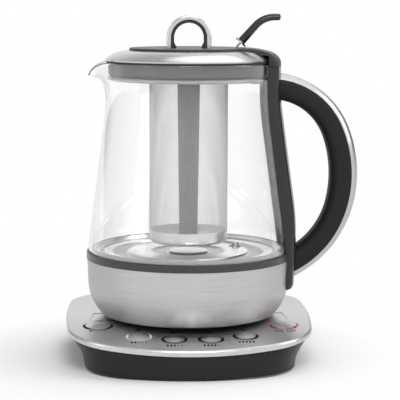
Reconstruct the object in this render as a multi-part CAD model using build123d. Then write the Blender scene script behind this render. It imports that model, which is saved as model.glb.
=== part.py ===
from build123d import *
import os
from math import acos, asin, atan2, cos, degrees, radians, sin, sqrt, tan

# Automatic tea maker: a glass kettle with a hanging infuser, on a powered base with six buttons.
# Millimetres, +Z up. The model is drawn about the kettle's axis, front towards -Y, spout towards
# -X and handle towards +X. export_parts() then shifts it so that the origin is the middle of the
# footprint box, on the surface that the base stands on.

# ---------------------------------------------------------------- driving dimensions: base
base_half_width = 95.5
base_front = 98.5
base_back = 102.0
front_arc = 150.0
back_arc = 320.0
side_arc = 640.0
side_middle = 16.0
front_corner = 52.0
back_corner = 45.0

foot_radius = 8.0
foot_spread_x = 54.0
foot_spread_front = 58.0
foot_spread_back = 66.0
foot_recess = 0.8
foot_gap = 0.1
foot_round = 0.6
screw_front = (27.5, -80.0)
screw_back = (66.0, 52.0)
boss_radius = 4.0
screw_radius = 1.25
screw_head = 2.9
screw_head_height = 1.6
screw_length = 9.4
screw_bore_spare = 0.6
screw_hole_gap = 0.45
screw_head_gap = 0.3
counterbore = 1.0
housing_bottom = 1.2
housing_wall = 2.2
housing_edge_round = 1.6
flare_foot = 12.5          # how far the foot of the housing stands inside the rim
flare_foot_front = 3.0
foot_corner = 44.0         # front corners of the foot; the rim's are front_corner
cover_thickness = 2.0
cover_gap = 0.3

plate_level = 32.4
plate_thickness = 1.0
plate_rim = 4.2
plate_round = 2.0
skirt_thickness = 1.2
skirt_gap = 0.4
deck_thickness = 2.0
panel_start = 5.0
panel_arc = 600.0
facet_half_width = 74.0    # pressed facet in which the buttons lie
facet_back = 4.0
facet_front = -30.0
facet_splay = 3.0
facet_tilt = 0.9           # degrees: deepest at its back edge, level with the plate in front

# ---------------------------------------------------------------- driving dimensions: buttons
small_cap_radius = 7.9
small_bezel_radius = 9.9
large_cap_radius = 9.6
large_bezel_radius = 11.6
cap_gap = 0.35
cap_stand = 1.5
cap_dome = 0.8
cap_depth = 7.0
cap_wall = 1.4
cap_roof = 1.5
cap_stem_radius = 2.2
press_travel = 1.5
bezel_recess = 0.5
bezel_depth = 2.6
bezel_ledge = 1.0
bezel_gap = 0.2
switch_size = 6.0
switch_height = 3.4
switch_gap = 0.1
plunger_radius = 1.7
plunger_height = 0.8
board_thickness = 1.6
board_margin = 5.0
board_wall_gap = 1.0
standoff_radius = 2.5
standoffs = ((-55.0, -45.0), (-24.0, -50.0), (24.0, -50.0), (55.0, -45.0))
button_x = (-69.9, -39.0, -12.8, 14.4, 40.6, 71.5)
button_y = (-40.0, -66.6, -73.4, -73.4, -66.6, -40.0)

# ---------------------------------------------------------------- driving dimensions: dock
dock_radius = 21.0
dock_height = 9.0
dock_hole_radius = 22.0
dock_flange = 27.0
dock_flange_thickness = 3.0
dock_depth = 6.0
dock_round = 1.5
dock_pin_well = 2.0
dock_ring_well = 2.2
dock_pin_drop = 1.5
dock_sleeve_drop = 2.5
dock_pin_radius = 3.2
dock_ring_radius = 13.0
dock_ring_thickness = 2.0
socket_gap = 0.8
socket_wall = 3.2
swivel_gap = 0.3
foot_roof = 1.6
foot_lip = 2.2
socket_flange = 4.0
socket_roof = 2.0
socket_recess = 0.6
pin_sleeve_wall = 1.1
pin_sleeve_gap = 0.4
pin_sleeve_length = 7.0
ring_sleeve_wall = 0.8
ring_sleeve_gap = 0.2
ring_sleeve_length = 5.0

outlet_radius = 5.5
outlet_bore = 3.4
outlet_gap = 0.1
outlet_length = 11.0
outlet_flange = 1.8
outlet_flange_length = 4.2
outlet_flange_at = 3.4
outlet_x = 40.0
outlet_z = 12.0

# ---------------------------------------------------------------- driving dimensions: kettle
ring_top = 83.4            # top edge of the dark ring that joins the glass to the steel cup
ring_height = 5.9
ring_wall = 1.3
ring_lip = 3.0
ring_lip_gap = 0.3
ring_lip_wall = 1.4
ring_shelf = 2.4            # how far its shelf reaches in under the glass
ring_bevel = 0.6

seat_gap = 0.3
cup_lift = 1.3
cup_step = 0.4             # how far the cup's mouth stands inside the ring
cup_waist = 0.7            # and its side inside the mouth
cup_wall = 0.8
cup_curve = 37.7
cup_curve_start = 22.4     # below the ring's top edge
cup_heel = 4.0
heel_set_in = 16.1
foot_ring_depth = 3.0
foot_ring_width = 5.0
foot_ring_set = 1.0
foot_rise = 0.4            # its level underside, over the cup's

glass_base_radius = 77.9
glass_neck_radius = 63.8
glass_wall = 2.4
glass_cone_bottom = 4.0    # heights above the ring's top edge
glass_cone_top = 112.7
glass_top = 145.3
glass_seat = 4.4
glass_side_gap = 0.1
glass_low_round = 60.0
glass_high_round = 280.0

spout_reach = 77.6
spout_tip_radius = 2.5
spout_wall = 2.4
spout_root_radius = 24.0
spout_throat = 1.6         # where the throat ends and the lip begins, out from the neck
spout_throat_radius = 17.0
spout_lip = 3.9
spout_lip_radius = 11.0
spout_beak = 7.6
spout_beak_radius = 6.8
spout_drop = 8.2           # how far the tip lies below the rim of the glass

floor_level = -1.5         # steel floor of the jug, relative to the ring's top edge
floor_thickness = 0.8
floor_turn_up = 2.4        # top of its turned-up edge, relative to the ring's top edge
floor_edge = 2.5
floor_edge_rise = 1.8
floor_step = 1.0
floor_rings = (0.22, 0.385, 0.645, 0.797)  # where its two grooves start and end, of its radius
seal_wall = 1.9
seal_gap = 0.1
seal_top = 3.0
sensor_at = (0.522, 0.302)  # shares of the floor's radius
sensor_radius = 2.9
sensor_rise = 4.0
sensor_depth = 9.0
sensor_gap = 0.1
sensor_round = 1.4
sensor_flange = 2.1
element_radius = 3.4
element_at = 0.714          # share of the floor's radius
element_start = 110.0
element_sweep = 320.0
element_pin = 1.6
element_pin_length = 14.0

# ---------------------------------------------------------------- driving dimensions: handle
handle_reach = 131.0
handle_apex = 59.0
handle_thickness = 21.1
handle_width = 26.0
handle_round = 8.0
outer_upper = (100.0, 22.0, 66.8)  # of each edge, from where it stands furthest out: radius and
outer_lower = (92.0, 25.0, 86.0)   # angle of a first arc, then the radius of the arc that ends it
inner_upper = (86.0, 20.0, 44.3)
inner_lower = (90.0, 13.0, 59.0)
grip_upper = (95.0, 25.0, 59.7)
grip_lower = (92.0, 20.0, 79.0)
handle_upper_end = 1.5     # how far its ends run in past the faces that they meet
handle_lower_end = 0.5
trim_thickness = 5.1

spine_proud = 7.4          # thickness of the spine over the neck of the glass
spine_half_width = 24.0
spine_corner = 7.0
spine_top = 143.6
spine_tip = -29.5
spine_round = 5.0
spine_hip = 6.0            # over the foot of the glass
spine_tip_proud = 4.4      # over the cup
spine_neck_end = 118.0
spine_hip_top = 27.0
spine_hip_bottom = 4.0
spine_neck_round = 140.0
spine_hip_round = 180.0
spine_low_round = 40.0

# ---------------------------------------------------------------- driving dimensions: lid
lid_overhang = 0.7
lid_rim_level = 147.0
lid_rim_height = 2.4
lid_sheet = 0.8
dome_width = 18.5
dome_bulge = (8.5, 1.6)    # a point of its curve: in from the rim, down from the crown
lid_crown_level = 154.9
hub_level = 156.9
hub_edge = 1.4
arm_half_angle = 23.0
arm_blend = 12.0
arm_lip = 143.9
arm_overhang = 6.7
arm_crest = (3.5, 2.0)      # in from the lid's rim, down from the hub's top
arm_shoulder = (3.3, 5.2)   # in from the arm's end, down from the hub's top
arm_brow = (0.7, 8.6)
arm_depth = 3.0             # how far the hub's skirt reaches below the crown
arm_rim_gap = 0.4
boss_depth = 8.1
boss_back = 5.0
boss_front = 8.0
boss_wall = 1.5
boss_gap = 0.2

plug_gap = 1.2
plug_bottom = 134.6
plug_wall = 2.0
plug_roof = 1.6
plug_post_spread = 26.0
plug_post_radius = 4.0
plug_toe = 3.0
plug_post_angles = (60, 180, 300)
bore_wall = 4.0
gasket_gap = 0.3
gasket_bottom = 131.8
gasket_width = 6.0
gasket_neck = 3.2
gasket_lip = 1.2
seal_seat_gap = 0.2
clip_drop = 2.6
clip_half_width = 4.0
clip_sheet = 1.2
clip_reach = (6.0, 3.4)     # of its foot, in and out from the gasket's inner edge
clip_stem = 4.0

loop_radius = 17.2
loop_thickness = 3.2
loop_liner = 2.6
loop_depth = 9.0
loop_round = 1.2
liner_depth = 7.4
loop_top = 181.8
loop_foot_flare = 2.2
loop_screw_radius = 1.25
loop_screw_head = 2.4
loop_screw_head_height = 1.6

lever_pin_x = 33.0
lever_pin_z = 153.6
lever_lean = 48.0          # angle of the rod above level
rod_radius = 0.9
rod_length = 11.0
rod_hold = 3.0             # how far the rod reaches into the lever
lever_root = (3.6, 3.15)    # half width and half thickness beside the collar
lever_end = (3.3, 2.6)      # and at its tip
lever_tip_round = 1.6
lever_straight = 16.4
lever_bend = 20.0
lever_tip = 4.4
collar_radius = 4.9
collar_thickness = 1.3
pin_radius = 1.0
pin_length = 10.0
pin_gap = 0.05
slot_half_width = 1.4
slot_back = 2.8
slot_clearance = 1.6
eye_gap = 0.25
eye_radius = 2.2

# ---------------------------------------------------------------- driving dimensions: infuser
basket_radius = 30.4
basket_wall = 0.7
basket_bottom = 6.4
basket_band = 15.6
basket_corner = 4.0
collar_bore_gap = 0.3
basket_collar_radius = 33.0
basket_collar_height = 7.0
lug_reach = 35.0
lug_width = 9.0
lug_height = 2.2
lug_rise = 2.8
lug_gap = 0.3
lug_side_gap = 0.6
lug_root = 1.0
collar_hang = 0.4
collar_step = 0.7
collar_neck = 1.2
lug_angles = (90, 270)
twist_angle = 30.0
post_top_width = 18.0
post_bottom_width = 14.0
post_thickness = 3.0
post_round = 1.0
post_bottom_gap = 2.0


# ---------------------------------------------------------------- values worked out from them
def ring(height):
    """Height above the floor of something given from the ring's top edge."""
    return ring_top + height


centre_x = (handle_reach - base_half_width) / 2
centre_y = (base_back - base_front) / 2
ring_bottom = ring(-ring_height)
screw_seat = housing_bottom + cover_thickness - counterbore
kettle_bottom = plate_level + seat_gap
cup_bottom = kettle_bottom + cup_lift
socket_radius = dock_radius + socket_gap + socket_wall
ring_radius = glass_base_radius + ring_wall
cup_radius = ring_radius - cup_step
cup_side_radius = cup_radius - cup_waist
heel_radius = cup_side_radius - heel_set_in
glass_inner_base = glass_base_radius - glass_wall
glass_inner_neck = glass_neck_radius - glass_wall
floor_radius = glass_inner_base - seal_wall - 2 * seal_gap
plug_radius = glass_inner_neck - plug_gap
gasket_radius = glass_inner_neck - gasket_gap
lid_rim_radius = glass_neck_radius + lid_overhang
lid_crown_radius = lid_rim_radius - dome_width
arm_reach = lid_rim_radius + arm_overhang
arm_outline_level = lid_crown_level - 2.5
bridge = 400.0             # larger than the whole object, for cutting tools
through = 15.0             # how far a cutting tool runs past a wall


# ---------------------------------------------------------------- shared shapes
def turned(*edges):
    """Solid made by turning a closed outline, drawn as radius and height, about the axis."""
    outline = Curve() + list(edges)
    return revolve(make_face(Plane.XZ * outline), Axis.Z)


def turned_polygon(*points):
    return turned(Polyline(*points, close=True))


def tube(outer_radius, inner_radius, bottom, top):
    return disc(outer_radius, bottom, top) - disc(inner_radius, bottom, top)


def disc(radius, bottom, top):
    blank = Cylinder(radius, top - bottom, align=(Align.CENTER, Align.CENTER, Align.MIN))
    return Pos(0, 0, bottom) * blank


def block(x_range, y_range, z_range):
    size = [high - low for low, high in (x_range, y_range, z_range)]
    middle = [(low + high) / 2 for low, high in (x_range, y_range, z_range)]
    return Pos(*middle) * Box(*size)


def side_profile(face_outline, half_width):
    """Solid with one outline in the XZ plane, as wide as given to both sides of it."""
    return extrude(make_face(Plane.XZ * face_outline), half_width, both=True)


def base_outline(inset=0.0, squeeze=0.0, squeeze_front=0.0, corner=front_corner):
    """Plan of the base: four shallow arcs with rounded corners, moved inwards by inset."""
    half_width = base_half_width - squeeze
    front = base_front - squeeze_front
    back = base_back - squeeze
    face = Pos(0, front_arc - front) * Circle(front_arc - inset)
    face &= Pos(0, back - back_arc) * Circle(back_arc - inset)
    for side in (-1, 1):
        face &= Pos(side * (half_width - side_arc), side_middle) * Circle(side_arc - inset)
    face = fillet([v for v in face.vertices() if v.Y < 0], corner - inset)
    return fillet([v for v in face.vertices() if v.Y > base_back / 2], back_corner - inset)


def plain_panel(depth, floor=-10.0):
    """Everything under the plate's surface, without its facet, when that is lowered by depth."""
    arc = panel_arc - depth
    middle_z = plate_level - panel_arc
    reach = base_front + 20.0
    swing = asin((reach + panel_start) / arc)
    high = (panel_start, middle_z + arc)
    low = (-reach, middle_z + arc * cos(swing))
    half = (panel_start - arc * sin(swing / 2), middle_z + arc * cos(swing / 2))
    back = base_back + 20.0
    outline = Curve() + [
        Line((back, floor), (back, plate_level - depth)),
        Line((back, plate_level - depth), high),
        ThreePointArc(high, half, low),
        Line(low, (-reach, floor)),
        Line((-reach, floor), (back, floor)),
    ]
    return extrude(make_face(Plane.YZ * outline), base_half_width + 20.0, both=True)


def facet_cut(depth):
    """What the pressed facet takes off, from its back edge to where it runs out into the panel."""
    front_half = facet_half_width + facet_splay
    plan = Polyline((-facet_half_width, facet_back), (facet_half_width, facet_back),
                    (front_half, facet_front), (-front_half, facet_front), close=True)
    pivot = Pos(0, facet_front, plate_level)
    lowered = pivot * Rot(-facet_tilt, 0, 0) * pivot.inverse() * plain_panel(depth)
    return extrude(make_face(plan), plate_level + through) - lowered


def under_panel(depth):
    """Everything under the plate's top surface when that is lowered by depth."""
    return plain_panel(depth) - facet_cut(depth)


def panel_place(x, y):
    """Place on the plate's top surface, with local Z square to it."""
    swing = asin(max(0.0, panel_start - y) / panel_arc)
    z = plate_level - panel_arc * (1 - cos(swing))
    return Pos(x, y, z) * Rot(degrees(swing), 0, 0)


def button_radii(index):
    if index in (0, len(button_x) - 1):
        return large_cap_radius, large_bezel_radius
    return small_cap_radius, small_bezel_radius


def button_places():
    for index, (x, y) in enumerate(zip(button_x, button_y)):
        cap_radius, bezel_radius = button_radii(index)
        yield index, panel_place(x, y), cap_radius, bezel_radius


def foot_places():
    for x in (-foot_spread_x, foot_spread_x):
        for y in (-foot_spread_front, foot_spread_back):
            yield Pos(x, y, 0)


def screw_places():
    for x, y in (screw_front, screw_back):
        yield Pos(-x, y, 0)
        yield Pos(x, y, 0)


# ---------------------------------------------------------------- base
def housing_blank(inset):
    """Flared body of the base, from its foot to above the plate."""
    levels = (
        (housing_bottom, 1.0, 1.0),
        (plate_level * 0.30, 0.91, 0.80),
        (plate_level * 0.58, 0.52, 0.45),
        (plate_level * 0.78, 0.12, 0.10),
        (plate_level * 0.86, -0.04, -0.10),
        (plate_level * 1.02, -0.30, -0.60),
    )
    sections = []
    for z, share, share_front in levels:
        corner = front_corner + (foot_corner - front_corner) * share
        face = base_outline(inset, flare_foot * share, flare_foot_front * share_front, corner)
        sections.append(Pos(0, 0, z) * face)
    return loft(sections)


def lower_housing():
    """Moulded body of the base, with the deck under the plate, screw bosses and standoffs."""
    body = housing_blank(0.0)
    body = fillet(body.edges().group_by(Axis.Z)[0], housing_edge_round)
    body &= under_panel(plate_thickness)
    body &= extrude(base_outline(skirt_thickness + skirt_gap), plate_level)
    cavity = housing_blank(housing_wall) & under_panel(plate_thickness + deck_thickness)
    shell = body - cavity
    shell -= disc(dock_hole_radius, 0, plate_level)
    for _, place, _, bezel_radius in button_places():
        shell -= place * disc(bezel_radius - bezel_ledge, -through, through)
        shell -= place * disc(bezel_radius + bezel_gap, -bezel_depth, through)
    for x, y in standoffs:
        post = Pos(x, y, 0) * disc(standoff_radius, 0, plate_level)
        shell += post & (under_panel(plate_thickness + deck_thickness / 2) - under_panel(board_drop()))
    for place in screw_places():
        boss = place * disc(boss_radius, housing_bottom + cover_thickness, plate_level)
        shell += boss & under_panel(plate_thickness + deck_thickness / 2)
        shell -= place * disc(screw_radius, 0, screw_seat + screw_length + screw_bore_spare)
    shell -= outlet_hole(outlet_radius)
    return shell


def outlet_hole(radius):
    return Pos(outlet_x, base_back, outlet_z) * Rot(90, 0, 0) * Cylinder(radius, 2 * flare_foot + through)


def cord_gland():
    """Grommet in the rear wall, where a supply cord would come out."""
    wall_y = base_back - flare_foot
    barrel = Cylinder(outlet_radius - outlet_gap, outlet_length)
    flange = Cylinder(outlet_radius + outlet_flange, outlet_flange_length)
    gland = (barrel + Pos(0, 0, outlet_flange_at) * flange) - Cylinder(outlet_bore, bridge)
    gland = Pos(outlet_x, wall_y, outlet_z) * Rot(-90, 0, 0) * gland
    return gland - (housing_blank(0.0) - outlet_hole(outlet_radius))


def base_cover():
    """Flat bottom plate, let in between the housing walls."""
    face = base_outline(housing_wall + cover_gap, flare_foot, flare_foot_front, foot_corner)
    cover = Pos(0, 0, housing_bottom) * extrude(face, cover_thickness)
    for place in foot_places():
        cover -= place * disc(foot_radius + foot_gap, 0, housing_bottom + foot_recess)
    for place in screw_places():
        cover -= place * disc(screw_radius + screw_hole_gap, 0, plate_level)
        cover -= place * disc(screw_head + screw_head_gap, 0, screw_seat)
    return cover


def rubber_feet():
    pad = disc(foot_radius, 0, housing_bottom + foot_recess)
    pad = fillet(pad.edges().group_by(Axis.Z)[0], foot_round)
    return [place * pad for place in foot_places()]


def base_screws():
    head = disc(screw_head, screw_seat - screw_head_height, screw_seat)
    shank = disc(screw_radius, screw_seat, screw_seat + screw_length)
    return [place * (head + shank) for place in screw_places()]


def top_plate():
    """Steel pressing: level round the kettle, falling away in a long curve to the front."""
    blank = extrude(base_outline(), plate_level + through) & plain_panel(0.0)
    blank -= plain_panel(plate_rim)
    top_faces = [f for f in blank.faces() if f.normal_at().Z > 0.9]
    rim_edges = [e for f in top_faces for e in f.edges() if on_outline(e)]
    blank = fillet(rim_edges, plate_round) - facet_cut(0.0)
    room = extrude(base_outline(skirt_thickness), plate_level + through)
    plate = blank - (room & under_panel(plate_thickness))
    plate -= disc(dock_hole_radius, 0, plate_level + through)
    for _, place, _, bezel_radius in button_places():
        plate -= place * disc(bezel_radius, -bezel_depth - plate_thickness, through)
    return plate


def on_outline(edge):
    """True for an edge on the outer wall of the plate, not on the fold across it."""
    box = edge.bounding_box()
    return not (box.size.X > base_half_width * 1.2 and box.size.Y < 0.1)


def dock_socket():
    """Round boss that stands through the plate and carries the contacts."""
    foot = plate_level - plate_thickness - deck_thickness
    top = plate_level + dock_height
    boss = disc(dock_radius, foot - dock_depth, top)
    boss = fillet(boss.edges().group_by(Axis.Z)[-1], dock_round)
    flange = disc(dock_flange, foot - dock_flange_thickness, foot)
    boss += flange & under_panel(plate_thickness + deck_thickness)
    boss -= disc(dock_pin_radius + dock_pin_well, foot, top + through)
    boss -= tube(dock_ring_radius + dock_ring_well, dock_ring_radius - dock_ring_well, foot, top + through)
    return boss


def dock_contacts():
    foot = plate_level - plate_thickness - deck_thickness
    top = plate_level + dock_height
    pin = disc(dock_pin_radius, foot, top - dock_pin_drop)
    half = dock_ring_thickness / 2
    sleeve = tube(dock_ring_radius + half, dock_ring_radius - half, foot, top - dock_sleeve_drop)
    return [pin, sleeve]


# ---------------------------------------------------------------- buttons
def button_cap(place, cap_radius):
    bottom = -(cap_depth - cap_stand)
    skirt = disc(cap_radius, bottom, cap_stand - cap_dome)
    crown_arc = (cap_radius ** 2 + cap_dome ** 2) / (2 * cap_dome)
    crown = Pos(0, 0, cap_stand - crown_arc) * Sphere(crown_arc)
    crown &= disc(cap_radius, 0, cap_stand + through)
    cap = skirt + crown
    cap -= disc(cap_radius - cap_wall, bottom, -cap_roof)
    cap += disc(cap_stem_radius, bottom, -cap_roof / 2)
    return place * cap


def button_bezel(place, cap_radius, bezel_radius):
    """Light ring let into the plate round one button."""
    return place * tube(bezel_radius, cap_radius + cap_gap, -bezel_depth, -bezel_recess)


def board_drop():
    """Depth of the board's top face under the panel."""
    return cap_depth - cap_stand + press_travel + switch_gap + switch_height


def button_switch(place):
    top = switch_height - board_drop()
    half = switch_size / 2
    shoulder = top - plunger_height
    housing = block((-half, half), (-half, half), (top - switch_height, shoulder))
    plunger = disc(plunger_radius, shoulder, top)
    return place * (housing + plunger)


def control_board():
    """Circuit board under the buttons, bent strip by strip to follow the panel's curve."""
    sheet = under_panel(board_drop()) - under_panel(board_drop() + board_thickness)
    sheet &= housing_blank(housing_wall + board_wall_gap)
    half_x = max(abs(x) for x in button_x) + board_margin
    front = min(button_y) - board_margin
    back = max(button_y) + board_margin
    board = sheet & block((-half_x, half_x), (front, back), (0, plate_level))
    for place in screw_places():
        board -= place * disc(boss_radius + board_wall_gap, 0, plate_level)
    return board


# ---------------------------------------------------------------- kettle: cup, ring and floor
def cup_outline(shrink):
    """Half outline of the steel cup, from the mouth down to the heel, moved in by shrink."""
    start = ring(-cup_curve_start)
    centre = (cup_side_radius - cup_curve, start)
    radius = cup_curve - shrink
    bottom = cup_bottom + shrink
    heel = cup_heel - shrink * 0.5
    # the heel arc touches the big arc inside and the level bottom
    heel_z = bottom + heel
    reach = radius - heel
    heel_x = centre[0] + sqrt(reach ** 2 - (start - heel_z) ** 2)
    angle = atan2(heel_z - start, heel_x - centre[0])
    touch = (centre[0] + radius * cos(angle), start + radius * sin(angle))
    half = angle / 2
    middle = (centre[0] + radius * cos(half), start + radius * sin(half))
    heel_half = (angle - radians(90)) / 2
    heel_mid = (heel_x + heel * cos(heel_half), heel_z + heel * sin(heel_half))
    top = (cup_radius - shrink, ring_bottom)
    waist = (cup_side_radius - shrink, start)
    return [
        Line(top, waist),
        ThreePointArc(waist, middle, touch),
        ThreePointArc(touch, heel_mid, (heel_x, bottom)),
    ], top, (heel_x, bottom)


def cup_solid(shrink):
    edges, top, heel = cup_outline(shrink)
    closing = [Line(heel, (0, heel[1])), Line((0, heel[1]), (0, top[1])), Line((0, top[1]), top)]
    return turned(*edges, *closing)


def steel_cup():
    cup = cup_solid(0.0) - cup_solid(cup_wall)
    return cup - disc(heel_radius, 0, cup_bottom + cup_wall + foot_ring_depth)


def kettle_foot():
    """Black bottom of the kettle, let into the cup, with a ring that it stands on."""
    top = cup_bottom + cup_wall + foot_ring_depth
    underside = cup_bottom + foot_rise
    outside = heel_radius - foot_ring_set
    inside = outside - foot_ring_width
    plate = disc(heel_radius, underside, top)
    plate += disc(outside, kettle_bottom, top)
    plate += disc(heel_radius + foot_lip, cup_bottom + cup_wall, top)
    plate -= disc(inside, 0, top - foot_roof)
    return plate - disc(socket_radius + swivel_gap, 0, top + through)


def kettle_socket():
    """Female half of the connector: it turns freely in the kettle's foot."""
    flange_bottom = cup_bottom + cup_wall + foot_ring_depth + swivel_gap
    roof = plate_level + dock_height + socket_gap
    top = roof + socket_roof
    cap = disc(socket_radius, cup_bottom + socket_recess, top)
    cap += disc(socket_radius + socket_flange, flange_bottom, flange_bottom + foot_roof)
    cap -= disc(dock_radius + socket_gap, 0, roof)
    pin_bore = dock_pin_radius + pin_sleeve_gap
    pin_sleeve = tube(pin_bore + pin_sleeve_wall, pin_bore, roof - pin_sleeve_length, top)
    ring_outer = dock_ring_radius - dock_ring_thickness / 2 - ring_sleeve_gap
    ring_sleeve = tube(ring_outer, ring_outer - ring_sleeve_wall, roof - ring_sleeve_length, top)
    return cap + pin_sleeve + ring_sleeve


def joint_ring():
    """Dark ring: a band outside, a shelf that the glass stands on, a lip inside the cup."""
    inner = glass_base_radius + glass_side_gap
    shelf_inner = glass_inner_base - ring_shelf
    top = ring(0)
    shelf = ring(-glass_seat)
    lip_outer = cup_radius - cup_wall - ring_lip_gap
    lip_inner = lip_outer - ring_lip_wall
    return turned_polygon(
        (ring_radius, top - ring_bevel), (ring_radius, ring_bottom), (lip_outer, ring_bottom),
        (lip_outer, ring_bottom - ring_lip), (lip_inner, ring_bottom - ring_lip),
        (lip_inner, ring_bottom), (shelf_inner, ring_bottom), (shelf_inner, shelf),
        (inner, shelf), (inner, top), (ring_radius - ring_bevel, top))


def glass_seal():
    """Silicone ring under the glass and against its inside, which the steel floor presses on."""
    shelf, top = ring(-glass_seat), ring(seal_top)
    outer = glass_inner_base - seal_gap
    inner = outer - seal_wall
    bevel = seal_wall / 4
    return turned_polygon((outer, shelf), (outer, top - bevel), ((outer + inner) / 2, top),
                          (inner, top - bevel), (inner, shelf))


def floor_line(level, shift):
    """Line of the jug's floor from the axis to its edge: a raised middle and two raised rings."""
    line = [(0, level + floor_step)]
    for start, end in zip(floor_rings[::2], floor_rings[1::2]):
        low_start, low_end = start * floor_radius + shift, end * floor_radius - shift
        line += [(low_start - floor_step, level + floor_step), (low_start, level)]
        line += [(low_end, level), (low_end + floor_step, level + floor_step)]
    return line


def heater_plate():
    """Steel floor of the jug, with the stepped rings pressed into it and a turned-up edge."""
    floor = ring(floor_level)
    top, edge = ring(floor_turn_up), floor_radius - floor_thickness * 1.5
    bend = floor_radius - floor_edge
    upper = floor_line(floor, 0.0) + [(bend, floor + floor_edge_rise), (edge, top)]
    lower = floor_line(floor - floor_thickness, -floor_thickness / 2)
    lower += [(bend + floor_thickness / 2, floor + floor_edge_rise - floor_thickness),
              (floor_radius, top - floor_thickness)]
    plate = turned_polygon(*upper, (floor_radius, top), *reversed(lower))
    return plate - sensor_place() * disc(sensor_radius + sensor_gap, floor - through, floor + through)


def temperature_sensor():
    """Capped probe that stands through the floor of the jug."""
    floor = ring(floor_level)
    probe = disc(sensor_radius, floor - sensor_depth, floor + sensor_rise)
    probe = fillet(probe.edges().group_by(Axis.Z)[-1], sensor_round)
    seat = floor + floor_step
    flange = disc(sensor_radius + sensor_flange, seat, seat + floor_thickness)
    return sensor_place() * (probe + flange)


def sensor_place():
    return Pos(sensor_at[0] * floor_radius, sensor_at[1] * floor_radius, 0)


def heating_element():
    """Open ring of sheathed element brazed under the steel floor."""
    middle = ring(floor_level) - floor_thickness - element_radius
    arc = CenterArc((0, 0), element_at * floor_radius, element_start, element_sweep)
    path = Plane.XY.offset(middle) * arc
    section = Plane(path @ 0, z_dir=path % 0) * Circle(element_radius)
    coil = sweep(section, path=path)
    ends = []
    for at in (0, 1):
        pin = Cylinder(element_pin, element_pin_length, align=(Align.CENTER, Align.CENTER, Align.MAX))
        spot = path @ at
        ends.append(Pos(spot.X, spot.Y, spot.Z) * pin)
    return coil + ends[0] + ends[1]


# ---------------------------------------------------------------- kettle: glass
def glass_outline(shrink, bottom, top):
    """Outer wall line of the glass, or its inner one when moved in by shrink."""
    return FilletPolyline(
        (glass_base_radius - shrink, bottom),
        (glass_base_radius - shrink, ring(glass_cone_bottom)),
        (glass_neck_radius - shrink, ring(glass_cone_top)),
        (glass_neck_radius - shrink, top),
        radius=[glass_low_round, glass_high_round])


def glass_solid(shrink, bottom, top):
    wall = glass_outline(shrink, bottom, top)
    start, end = wall @ 0, wall @ 1
    return turned(wall, Line((end.X, end.Y), (0, end.Y)), Line((0, end.Y), (0, start.Y)),
                  Line((0, start.Y), (start.X, start.Y)))


def spout_horn(thinner, tip):
    """Outside of the pouring lip as round sections square to X, or its inside when thinner."""
    top = ring(glass_top)
    stations = (
        (glass_neck_radius - 5.5, spout_root_radius, 0.5),
        (glass_neck_radius + spout_throat, spout_throat_radius, 1.6),
        (glass_neck_radius + spout_lip, spout_lip_radius, 2.5),
        (glass_neck_radius + spout_beak, spout_beak_radius, spout_drop * 0.5),
        (tip, spout_tip_radius, spout_drop),
    )
    sections = []
    for x, radius, drop in stations:
        plane = Plane(origin=(-x, 0, top - drop), z_dir=(-1, 0, 0))
        sections.append(plane * Circle(max(radius - thinner, spout_tip_radius * 0.3)))
    return loft(sections)


def glass_vessel():
    """Blown glass body with a shouldered neck and a pouring lip drawn out at the front rim."""
    bottom, top = ring(-glass_seat), ring(glass_top)
    body = glass_solid(0.0, bottom, top) + spout_horn(0.0, spout_reach)
    body -= glass_solid(glass_wall, bottom, top + bridge)
    body -= spout_horn(spout_wall, spout_reach + spout_wall)
    body -= block((-bridge, bridge), (-bridge, bridge), (top, top + bridge))
    slope = degrees(atan2(spout_drop - spout_tip_radius * 0.6, spout_reach - glass_neck_radius))
    lid_cut = Pos(-glass_neck_radius - 0.8, 0, top) * Rot(0, -slope, 0)
    body -= lid_cut * block((-bridge / 2, bridge), (-bridge / 2, bridge / 2), (0, bridge / 2))
    return body


# ---------------------------------------------------------------- kettle: spine and handle
def kettle_envelope():
    """Outside of cup, ring and glass as one solid, for cutting what lies against them."""
    ring_band = disc(ring_radius, ring_bottom, ring(0))
    return cup_solid(0.0) + ring_band + glass_solid(0.0, ring(-glass_seat), ring(glass_top))


def spine_envelope():
    """Turned solid with the spine's outer line, down to the axis."""
    neck = glass_neck_radius + spine_proud
    hip = glass_base_radius + spine_hip
    outline = FilletPolyline(
        (neck, ring(spine_top)), (neck, ring(spine_neck_end)), (hip, ring(spine_hip_top)),
        (hip, ring(spine_hip_bottom)), (cup_side_radius + spine_tip_proud, ring(spine_tip)),
        radius=[spine_neck_round, spine_hip_round, spine_low_round])
    start, end = outline @ 0, outline @ 1
    return turned(outline, Line((end.X, end.Y), (0, end.Y)), Line((0, end.Y), (0, start.Y)),
                  Line((0, start.Y), (start.X, start.Y)))


def spine():
    """Plastic strip down the handle side, which clips over the ring and the cup."""
    face = make_face(Polyline(
        (-spine_half_width, ring(spine_top)), (spine_half_width, ring(spine_top)),
        (spine_half_width, ring(spine_tip)), (-spine_half_width, ring(spine_tip)), close=True))
    face = fillet(face.vertices().group_by(Axis.Y)[0], spine_corner)
    strip = spine_envelope() & extrude(Plane.YZ * face, bridge / 2)
    strip = fillet([e for e in strip.edges() if is_spine_rim(e)], spine_round)
    return strip - kettle_envelope()


def is_spine_rim(edge):
    """Edges between the spine's outer surface and its side walls, round its lower corners too."""
    middle = edge @ 0.5
    out = sqrt(middle.X ** 2 + middle.Y ** 2)
    below_top = min((edge @ 0).Z, (edge @ 1).Z) < ring(spine_top) - 1.0
    return below_top and out > glass_neck_radius + spine_proud - 0.5 and edge.length > 1.0


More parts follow.
